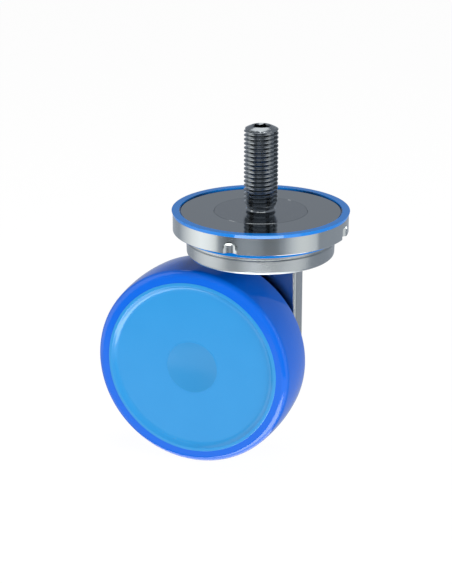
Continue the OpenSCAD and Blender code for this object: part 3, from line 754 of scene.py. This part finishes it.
def thread_rows():
    """Helical rows. Height = (turn number + share of pitch + angle share) * pitch, held
    between the thread's ends. Radius = crest less the depth at the height's own share of a
    pitch, and never outside the neck's cone or the tip, which draws in by TIP_DRAW * share
    of the tip's length ** TIP_BEND. The depth fades over one part in TIP_FADE of the tip."""
    turns = np.arange(-2, int((STEM_TOP - UNDERCUT_FOOT) / PITCH) + 1)
    share = (turns[:, None] + FORM[None, :-1, 0]).reshape(-1, 1)
    lead = THREAD_START + turn_deg / 360
    held = np.clip(UNDERCUT_FOOT + (share + lead) * PITCH, UNDERCUT_FOOT, STEM_TOP)
    phase = np.mod((held - UNDERCUT_FOOT) / PITCH - lead, 1.0)
    depth = np.interp(phase, FORM[:, 0], FORM[:, 1])
    into_tip = np.clip((held - STEM_TOP) / TIP_LEN + 1, 0, 1)
    depth = depth * np.clip(1 - TIP_FADE * into_tip, 0, 1)
    cone = np.minimum(
        THREAD_R - TIP_DRAW * into_tip**TIP_BEND,
        UNDERCUT_R + (held - UNDERCUT_FOOT) * (THREAD_R - UNDERCUT_R) / UNDERCUT_CONE,
    )
    radius = np.minimum(THREAD_R - depth * (THREAD_R - ROOT_R), cone)
    return radius, held


print("rows of the thread:", len(thread_rows()[0]))

# %% [markdown]
# ### Foot, kingpin and socket
# The rows under the thread are plain circles: the kingpin with its seats for the nut and
# the bearing, the flange inside the plate, and a small bead where the neck meets it. The
# socket's rows keep the same columns, and their radius follows a hexagon instead.

# %% Rows of the foot and the socket
FLANGE_R = 27.5
FLANGE_BREAK = 0.4
FOOT_R = 8.2
BEAD_R = 8.85
BEAD_Z = 1.05
BEAD_RISE = 0.85
KINGPIN_END = STEM_LOW[2]
KING_NUT_R = 10.0
KING_NUT_TOP = KINGPIN_END + 4.6
KING_BEARING_R, KING_BEARING_TOP = 12.5, -10.5
KING_SHOULDER_R = 15.0
SOCKET_AF = 9.6
SOCKET_BREAK = 0.12
SOCKET_DEPTH = 12.0


def level_rows(profile):
    """Rows of a plain turned profile, with the same columns as the thread."""
    profile = np.asarray(profile, float)
    return np.repeat(profile[:, :1], COLUMNS, 1), np.repeat(profile[:, 1:], COLUMNS, 1)


def socket_rows():
    """The hexagon socket: its wall's radius is half the width across flats over the cosine
    of the angle from the nearest flat, and a 45 degree cone breaks its mouth."""
    hexagon = SOCKET_AF / 2 / np.cos(np.radians(np.mod(turn_deg + 30, 60) - 30))
    mouth = SOCKET_AF / 2 / math.cos(math.radians(30)) + SOCKET_BREAK
    radius = np.stack([np.full(COLUMNS, mouth), hexagon, hexagon, np.zeros(COLUMNS)])
    floor = np.full(COLUMNS, STEM_TOP - SOCKET_DEPTH)
    height = np.stack([np.full(COLUMNS, STEM_TOP), STEM_TOP - mouth + hexagon, floor, floor])
    return radius, height


below = [
    (0, KINGPIN_END), (KING_NUT_R - EDGE, KINGPIN_END), (KING_NUT_R, KINGPIN_END + EDGE),
    (KING_NUT_R, KING_NUT_TOP), (KING_BEARING_R, KING_NUT_TOP),
    (KING_BEARING_R, KING_BEARING_TOP), (KING_SHOULDER_R, KING_BEARING_TOP),
    (KING_SHOULDER_R, PLATE_LOW[2]), (FLANGE_R, PLATE_LOW[2]), (FLANGE_R, -FLANGE_BREAK),
    (FLANGE_R - FLANGE_BREAK, 0), (FOOT_R, 0), (BEAD_R, BEAD_Z),
    (UNDERCUT_R, BEAD_Z + BEAD_RISE), (UNDERCUT_R, UNDERCUT_FOOT - SUPPORT),
]
print("rows under the thread:", len(below), "and in the socket:", len(socket_rows()[0]))

# %% [markdown]
# ### The stem in one piece
# The rows go on top of one another. Where the thread runs out its edges grow blunt, so the
# angle from which an edge counts as sharp is set lower here.

# %% Turn the stem
THREAD_SHARP_DEG = 26.0
rows = [level_rows(below), thread_rows(), socket_rows()]
radius = np.concatenate([r for r, h in rows])
height = np.concatenate([h for r, h in rows])
a = np.radians(turn_deg)
points = np.stack([radius * np.cos(a), radius * np.sin(a), height], axis=-1).reshape(-1, 3)
stem = piece("threaded_stem", points, grid_faces(len(radius), COLUMNS), THREAD_SHARP_DEG)
stem.data.materials.append(stem_steel)
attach(stem, "head")
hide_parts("stem")
print("stem:", len(stem.data.polygons), "faces")

# %% [markdown]
# ## The fork
# The casting is a round head and one flat arm. The arm's outline wraps four circles, one at
# each corner, like a belt round four pulleys, so every straight edge runs smoothly into its
# arcs. The slab's edges are rounded all the way round.

# %% The arm's outline
ARM_LOW = 21.25
ARM_HIGH = 35.75
ARM_EDGE = 2.4
CUP_BOTTOM = -25.8
ARM_CORNERS = [(12.5, -25.0, 3.0), (-17.0, -25.0, 3.0),
               (AXLE[0], AXLE[2], 21.0), (-10.5, AXLE[2] + 11.0, 26.0)]
ARM_STEPS = 28
FACE_INSET = 0.25


def arm_outline(inset):
    """Points of the belt round the corner circles, each drawn in by the inset. A straight
    edge leaves a circle where its normal is the edge's direction less a right angle, plus
    the angle whose sine is the difference of the radii over the distance."""
    def normal(a, b):
        dx, dz = b[0] - a[0], b[1] - a[1]
        tilt = math.degrees(math.asin((a[2] - b[2]) / math.hypot(dx, dz)))
        return math.degrees(math.atan2(dz, dx)) - 90 + tilt

    parts = []
    for i, (x, z, r) in enumerate(ARM_CORNERS):
        start = normal(ARM_CORNERS[i - 1], ARM_CORNERS[i])
        end = normal(ARM_CORNERS[i], ARM_CORNERS[(i + 1) % 4])
        parts.append(arc(x, z, r - inset, start, start + (end - start) % 360, ARM_STEPS))
    return np.concatenate(parts)


def rounded_slab(low, high, edge, outline, steps=9):
    """Rings of the outline from one face to the other: on the rounded edge a ring is drawn
    in by edge * (1 - sin a) where the slab has risen by edge * (1 - cos a). One more ring,
    a little further in, keeps each face flat."""
    a = np.radians(np.linspace(0, 90, steps + 1))
    inset, rise = edge * (1 - np.sin(a)), edge * (1 - np.cos(a))
    face = [inset[0] + FACE_INSET]
    inset = np.concatenate([face, inset, [0, 0], inset[::-1], face])
    level = np.concatenate([
        [low], low + rise, [low + edge + SUPPORT, high - edge - SUPPORT],
        (high - rise)[::-1], [high],
    ])
    rings = [outline(i) for i in inset]
    count = len(rings[0])
    points = np.concatenate([
        np.stack([ring[:, 0], np.full(count, y), ring[:, 1]], axis=-1)
        for ring, y in zip(rings, level)
    ])
    sides = grid_faces(len(rings), count).tolist()
    last = len(points) - count
    return points, sides + [list(range(count))[::-1], list(range(last, last + count))]


print("arm outline:", len(arm_outline(0)), "points")

# %% [markdown]
# ### The head
# The head is a cup over the swivel's races. A mould lets a casting go only if its sides
# lean a little, so the cup narrows downwards, and a shallow groove runs round it under the
# shoulder. The arm and the boss for the axle are joined to it, and the axle's hole is bored
# last, as in the real part.

# %% Turn the head and join the arm
SHOULDER_Z = -15.0
CUP_R = 43.82
CUP_TOP_EDGE, CUP_EDGE = 0.25, 1.7
CUP_DRAFT = 0.25
GROOVE_HALF, GROOVE_DEPTH = 0.55, 0.4
GROOVE_EDGE, GROOVE_FLOOR = 0.12, 0.15
GROOVE_Z = SHOULDER_Z - 2.1
NECK_OUT, NECK_IN, NECK_TOP = 41.52, 39.62, -10.0
COLLAR_TOP, COLLAR_OUT, COLLAR_IN = FORK_HIGH[2], 28.92, 19.0
POCKET_R, POCKET_TOP = 21.02, -10.5
head_profile = filleted([
    (COLLAR_IN, COLLAR_TOP, 0), (COLLAR_OUT, COLLAR_TOP, 0), (COLLAR_OUT, SHOULDER_Z, 0),
    (NECK_IN, SHOULDER_Z, 0), (NECK_IN, NECK_TOP, 0), (NECK_OUT, NECK_TOP, 0),
    (NECK_OUT, SHOULDER_Z, 0), (CUP_R, SHOULDER_Z, CUP_TOP_EDGE),
    (CUP_R, GROOVE_Z + GROOVE_HALF, GROOVE_EDGE), (CUP_R - GROOVE_DEPTH, GROOVE_Z, GROOVE_FLOOR),
    (CUP_R, GROOVE_Z - GROOVE_HALF, GROOVE_EDGE), (CUP_R - CUP_DRAFT, CUP_BOTTOM, CUP_EDGE),
    (POCKET_R, CUP_BOTTOM, 0), (POCKET_R, POCKET_TOP, 0), (COLLAR_IN, POCKET_TOP, 0),
], 9)
head = piece("fork_casting", *turned(head_profile, segments=224))
arm = piece("fork_arm", *rounded_slab(ARM_LOW, ARM_HIGH, ARM_EDGE, arm_outline))
BOSS_R, BOSS_H = 16.0, 1.5
AXLE_HOLE_R = 7.02
OVERLAP = 1.0
boss_low, boss_top, boss_in = ARM_LOW + OVERLAP, ARM_HIGH + BOSS_H, AXLE_HOLE_R - OVERLAP
boss = piece("fork_boss", *turned([
    (boss_in, boss_low), (BOSS_R, boss_low), (BOSS_R, boss_top - EDGE),
    (BOSS_R - EDGE, boss_top), (boss_in, boss_top),
], segments=128, about_axle=True))
bore_low, bore_top = ARM_LOW - CUT_PAST, ARM_HIGH + 2 * CUT_PAST
bore = piece("fork_bore", *turned([
    (0, bore_low), (AXLE_HOLE_R, bore_low), (AXLE_HOLE_R, bore_top), (0, bore_top),
], segments=96, about_axle=True))
for other, operation in ((arm, "UNION"), (boss, "UNION"), (bore, "DIFFERENCE")):
    combined(head, other, operation)
head.data.shade_smooth()
head.data.set_sharp_from_angle(angle=math.radians(SHARP_DEG))
head.data.materials.clear()
head.data.materials.append(fork_steel)
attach(head, "fork")
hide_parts("fork")
print("fork:", len(head.data.polygons), "faces")

# %% [markdown]
# ## Camera
# The lens is long, and the camera looks down by nineteen degrees from a little to the right
# of the wheel's face. Its place and lens were solved from the ellipses that round pieces
# make in a picture. This one is taller than wide, so the sensor is given by its height.

# %% Place the camera
PICTURE = (452, 584)
FOCAL_PX = 1710.06
SENSOR = 36.0
camera = bpy.data.cameras.new("view")
camera.sensor_fit = "VERTICAL"
camera.sensor_height = SENSOR
camera.lens = FOCAL_PX / PICTURE[1] * SENSOR
camera.clip_end = 20.0
VIEW_TURN, VIEW_DOWN = math.radians(20.57), math.radians(19.43)
VIEW_PLACE = (319.1, -908.3, 288.6)
viewer = in_scene("view", camera)
viewer.location = Vector(VIEW_PLACE) * MM
viewer.rotation_euler = (math.pi / 2 - VIEW_DOWN, 0, VIEW_TURN)
bpy.context.scene.camera = viewer
print("lens", round(camera.lens, 2), "mm")

# %% [markdown]
# ## Studio
# The castor stands on a white floor in a white room. Polished metal shows little but what
# stands round it, so inside the room there is a light tent, as a photographer would build
# it, and only reflections see it. A ray can be asked what it is: one that the camera sends
# is seen directly, one that leaves a mirror shows the tent, and one that leaves a dull
# surface only carries light.

# %% What each ray meets
WHITE = hex_colour("#FFFFFF")


def seen_directly(tree):
    """1 for camera, glossy and transmission rays, and 0 for the rays that carry light."""
    path = add(tree, "LightPath").outputs
    either = add(
        tree, "Math", {0: path["Is Camera Ray"], 1: path["Is Glossy Ray"]}, operation="ADD"
    ).outputs[0]
    passing = {0: either, 1: path["Is Transmission Ray"]}
    return add(tree, "Math", passing, operation="ADD", use_clamp=True).outputs[0]


def to_first_glance(tree, strength, later):
    """The strength for a first reflection, a smaller share of it for a reflection of a
    reflection, and nothing for a ray that has left a dull surface, so that mirrors throw no
    stray light and hollows between them stay dark."""
    path = add(tree, "LightPath").outputs
    first = add(tree, "MapRange", {
        "Value": path["Glossy Depth"], "From Min": 1.0, "From Max": 2.0,
        "To Min": strength, "To Max": strength * later})
    dull = {0: 1.0, 1: path["Diffuse Depth"]}
    clear = add(tree, "Math", dull, operation="SUBTRACT", use_clamp=True)
    both = {0: clear.outputs[0], 1: first.outputs[0]}
    return add(tree, "Math", both, operation="MULTIPLY").outputs[0]


def bare_material(name):
    """A new material with an empty tree, whose glow Cycles doesn't treat as a lamp."""
    made = bpy.data.materials.new(name)
    made.use_nodes = True
    made.node_tree.nodes.clear()
    made.cycles.emission_sampling = "NONE"
    return made, made.node_tree


def flat_sheet(name, points, faces, made):
    """A sheet of a few flat faces, from points in millimetres, in one material."""
    sheet = in_scene(name, bpy.data.meshes.new(name))
    sheet.data.from_pydata((np.asarray(points) * MM).tolist(), [], faces)
    sheet.data.materials.append(made)
    return sheet


print("rays are told apart")

# %% [markdown]
# ### World and floor
# Both are white to the eye, but they light the castor at a level of their own: the world
# hardly at all, and the floor from below, as a light table does. A faint cloth on the floor
# takes the shadow.

# %% World and floor
WORLD_LIGHT = 0.05
FLOOR_LIGHT = 0.74
FLOOR_SHOWN = 0.97
world = bpy.data.worlds.new("studio")
world.use_nodes = True
tree = world.node_tree
tree.nodes.clear()
lighting = add(tree, "Background", {"Color": WHITE, "Strength": WORLD_LIGHT})
shown = add(tree, "Background", {"Color": WHITE, "Strength": 1.0})
mixed = add(tree, "MixShader", {
    0: seen_directly(tree), 1: lighting.outputs[0], 2: shown.outputs[0]})
add(tree, "OutputWorld", {"Surface": mixed.outputs[0]})
bpy.context.scene.world = world


def floor_cloth():
    """A light table: it lights the castor from below, and to the eye its glow makes it white,
    with a faint cloth on it that takes the shadow."""
    made, tree = bare_material("pale_floor")
    below = add(tree, "Emission", {"Color": WHITE, "Strength": FLOOR_LIGHT})
    faint = add(tree, "BsdfDiffuse", {"Color": hex_colour("#505050")})
    glow = add(tree, "Emission", {"Color": WHITE, "Strength": FLOOR_SHOWN})
    both = add(tree, "AddShader", {0: faint.outputs[0], 1: glow.outputs[0]})
    mixed = add(tree, "MixShader", {
        0: seen_directly(tree), 1: below.outputs[0], 2: both.outputs[0]})
    add(tree, "OutputMaterial", {"Surface": mixed.outputs[0]})
    return made


FLOOR_REACH = 6000.0
corners = np.array([(-1, -1), (1, -1), (1, 1), (-1, 1)]) * FLOOR_REACH
corners = [(x, y, FLOOR_Z) for x, y in corners]
floor = flat_sheet("floor", corners, [(0, 1, 2, 3)], floor_cloth())
floor.visible_glossy = False
print("floor at", round(FLOOR_Z, 2), "mm")

# %% [markdown]
# ### The light tent
# A real tent is white cloth on both sides, with dark gaps in front and grey behind. The
# cloth makes metal bright, and the gaps draw the dark bands that give it its shape. Far
# away, a reflection depends only on its direction, so the tent here is a large sphere.

# %% Directions round the castor
TENT_R = 3000.0


def only_in_reflections(obj):
    """Leaves the piece to glossy rays alone, so that it neither lights nor hides anything."""
    for kind in ("camera", "diffuse", "shadow", "transmission", "volume_scatter"):
        setattr(obj, "visible_" + kind, False)


def from_camera_side(angle, rise, distance):
    """A point at an angle from the camera's side, right being positive, and at a rise above
    the level, both in degrees, in millimetres from the middle of the mounting face."""
    a = np.radians(angle) - math.pi / 2 + VIEW_TURN
    e = np.radians(rise)
    return np.stack([
        distance * np.cos(e) * np.cos(a), distance * np.cos(e) * np.sin(a), distance * np.sin(e)
    ], axis=-1)


print("the camera looks from", np.round(from_camera_side(0, 0, 1), 3))

# %% [markdown]
# ### The cloth
# The glow is listed by the direction round the castor, with the camera's side as zero and
# the right as positive. A colour ramp reads the list, and the cloth turns to one grey
# higher up and to another lower down. Where it lies in shade it is a little blue.

# %% The tent's cloth
# Direction in degrees from the camera's side, and the cloth's glow there
CLOTH = [
    (-180, 0.50), (-150, 0.46), (-132, 0.44), (-116, 0.85), (-100, 1.25), (-84, 1.48),
    (-70, 1.36), (-60, 1.05), (-57, 0.42), (-50, 0.30), (-45, 0.20), (-34, 0.20),
    (-30, 0.38), (-14, 0.40), (-2, 0.32), (6, 0.20), (18, 0.22), (28, 0.40), (40, 0.80),
    (50, 0.98), (60, 0.98), (77, 0.80), (79, 0.38), (90, 0.42), (140, 0.43), (180, 0.50),
]
BRIGHTEST = 1.5
TENT_LATER = 0.95
# Heights on the sphere, in metres, where a grey begins and where it is full, and the grey
HIGH_BAND = (0.0, 0.75, 0.34)
LOW_BAND = (-1.75, -2.4, 0.40)
SHADE_TINT = np.array([-0.07, 0.0, 0.12])
FULL_SHADE = 0.5


def cloth_tone(glow):
    """The cloth's colour: white where it is lit, and a little blue where it lies in shade,
    which sets in below a glow of 1 and is full at FULL_SHADE."""
    shade = min(max((1.0 - glow) / (1.0 - FULL_SHADE), 0.0), 1.0)
    return (*(glow / BRIGHTEST * (1 + SHADE_TINT * shade)), 1.0)


def tent_cloth():
    """Glow from the angle round the tent, mixed to grey above and below the level band."""
    made, tree = bare_material("tent_cloth")
    own = add(tree, "TexCoord").outputs["Object"]
    facing = add(tree, "Mapping", {"Vector": own, "Rotation": (0, 0, -VIEW_TURN)})
    axes = add(tree, "SeparateXYZ", {0: facing.outputs[0]}).outputs
    front = add(tree, "Math", {0: axes["Y"], 1: -1.0}, operation="MULTIPLY")
    angle = add(tree, "Math", {0: axes["X"], 1: front.outputs[0]}, operation="ARCTAN2")
    share = add(tree, "MapRange", {
        "Value": angle.outputs[0], "From Min": -math.pi, "From Max": math.pi})
    around = add(tree, "ValToRGB", {"Fac": share.outputs[0]})
    stops = around.color_ramp.elements
    stops.remove(stops[-1])
    for i, (degrees, glow) in enumerate(CLOTH):
        stop = stops[0] if i == 0 else stops.new((degrees + 180) / 360)
        stop.position = (degrees + 180) / 360
        stop.color = cloth_tone(glow)
    tones = around.outputs["Color"]
    for start, end, grey in (HIGH_BAND, LOW_BAND):
        away = add(tree, "MapRange", {
            "Value": axes["Z"], "From Min": start, "From Max": end,
        }, interpolation_type="SMOOTHSTEP")
        tones = add(tree, "Mix", {
            "Factor": away.outputs[0], "A": tones, "B": cloth_tone(grey),
        }, data_type="RGBA").outputs[2]
    glow = add(tree, "Emission", {
        "Color": tones, "Strength": to_first_glance(tree, BRIGHTEST, TENT_LATER)})
    add(tree, "OutputMaterial", {"Surface": glow.outputs[0]})
    return made


ball = TENT_R * arc(0, 0, 1, -90, 90, 48)
tent = piece("light_tent", *turned(ball, segments=96))
tent.data.materials.append(tent_cloth())
only_in_reflections(tent)
print("tent radius", TENT_R, "mm")

# %% [markdown]
# ### Cards
# Cards stand inside the tent, for light that the cloth is too even to give. A bright strip
# lies below and in front, where it runs a line of light along the seal's side and the
# casting's rounded foot. Others hang low in front, at the sides, above and behind. They
# hardly glow in a second reflection, so that hollows stay dark.

# %% Cards
CARD_R = 2000.0
CARD_LATER = 0.05
CARD_STEPS = 12


def card(name, points, faces, glow):
    """A glowing card, seen only in reflections."""
    made, tree = bare_material(name)
    light = add(tree, "Emission", {
        "Color": WHITE, "Strength": to_first_glance(tree, glow, CARD_LATER)})
    add(tree, "OutputMaterial", {"Surface": light.outputs[0]})
    only_in_reflections(flat_sheet(name, points, faces, made))


def curved_card(name, angles, rises, glow):
    """A card bent round the castor, between two angles and two rises, in degrees."""
    angle = np.linspace(*angles, CARD_STEPS + 1)[None, :] + np.zeros((2, 1))
    rise = np.array(rises)[:, None] + np.zeros((1, CARD_STEPS + 1))
    points = from_camera_side(angle, rise, CARD_R).reshape(-1, 3)
    above = CARD_STEPS + 1
    faces = [(i, i + 1, above + i + 1, above + i) for i in range(CARD_STEPS)]
    card(name, points, faces, glow)


def low_card(name, across, ahead, glow):
    """A flat card below, between two distances to the right and two towards the camera, as
    shares of its depth below the castor."""
    depth = CARD_R / 2
    right = np.array([math.cos(VIEW_TURN), math.sin(VIEW_TURN), 0.0])
    front = np.array([math.sin(VIEW_TURN), -math.cos(VIEW_TURN), 0.0])
    down = np.array([0, 0, -1.0])
    shares = [(across[i], ahead[j]) for i, j in ((0, 0), (1, 0), (1, 1), (0, 1))]
    card(name, [depth * (u * right + v * front + down) for u, v in shares], [(0, 1, 2, 3)], glow)


low_card("strip_below", (-0.6, 0.5), (0.5, 1.55), 6.4)
low_card("card_below", (-0.6, 0.5), (-0.6, 0.5), 2.6)
curved_card("apron", (-36, 64), (-33, -23), 1.0)
curved_card("left_apron", (-110, -36), (-36, -22.5), 0.85)
curved_card("left_box", (-108, -64), (8, 52), 1.3)
curved_card("low_right", (22, 62), (-62, -32), 1.6)
curved_card("high_front", (-60, 60), (58, 80), 1.6)
curved_card("high_back", (155, 212), (46, 79), 1.7)
curved_card("right_box", (40, 78), (4, 34), 0.9)
print("glowing materials:", sum(m.cycles.emission_sampling == "NONE" for m in bpy.data.materials))

# %% [markdown]
# ### Lamps
# Dull surfaces get their light from three broad, soft lamps, on the left, on the right and
# above. Reflections leave them out, because the tent stands for them there. Their level is
# plain, so a colour renders about as it is written.

# %% Lamps
LAMP_AIM = (0, 0, -60)


def lamp(name, place, size, power):
    """A square area lamp that faces the middle of the castor."""
    light = bpy.data.lights.new(name, "AREA")
    light.size = size * MM
    light.energy = power
    obj = in_scene(name, light)
    obj.location = Vector(place) * MM
    aim = Vector(LAMP_AIM) * MM - obj.location
    obj.rotation_euler = aim.to_track_quat("-Z", "Y").to_euler()
    obj.visible_glossy = False


lamp("key_left", from_camera_side(-40, 8, 1100), 420, 6.8)
lamp("fill_right", from_camera_side(50, 8, 1000), 420, 5.6)
lamp("top", (0, 60, 850), 560, 3.9)
scene = bpy.context.scene
scene.view_settings.view_transform = "Standard"
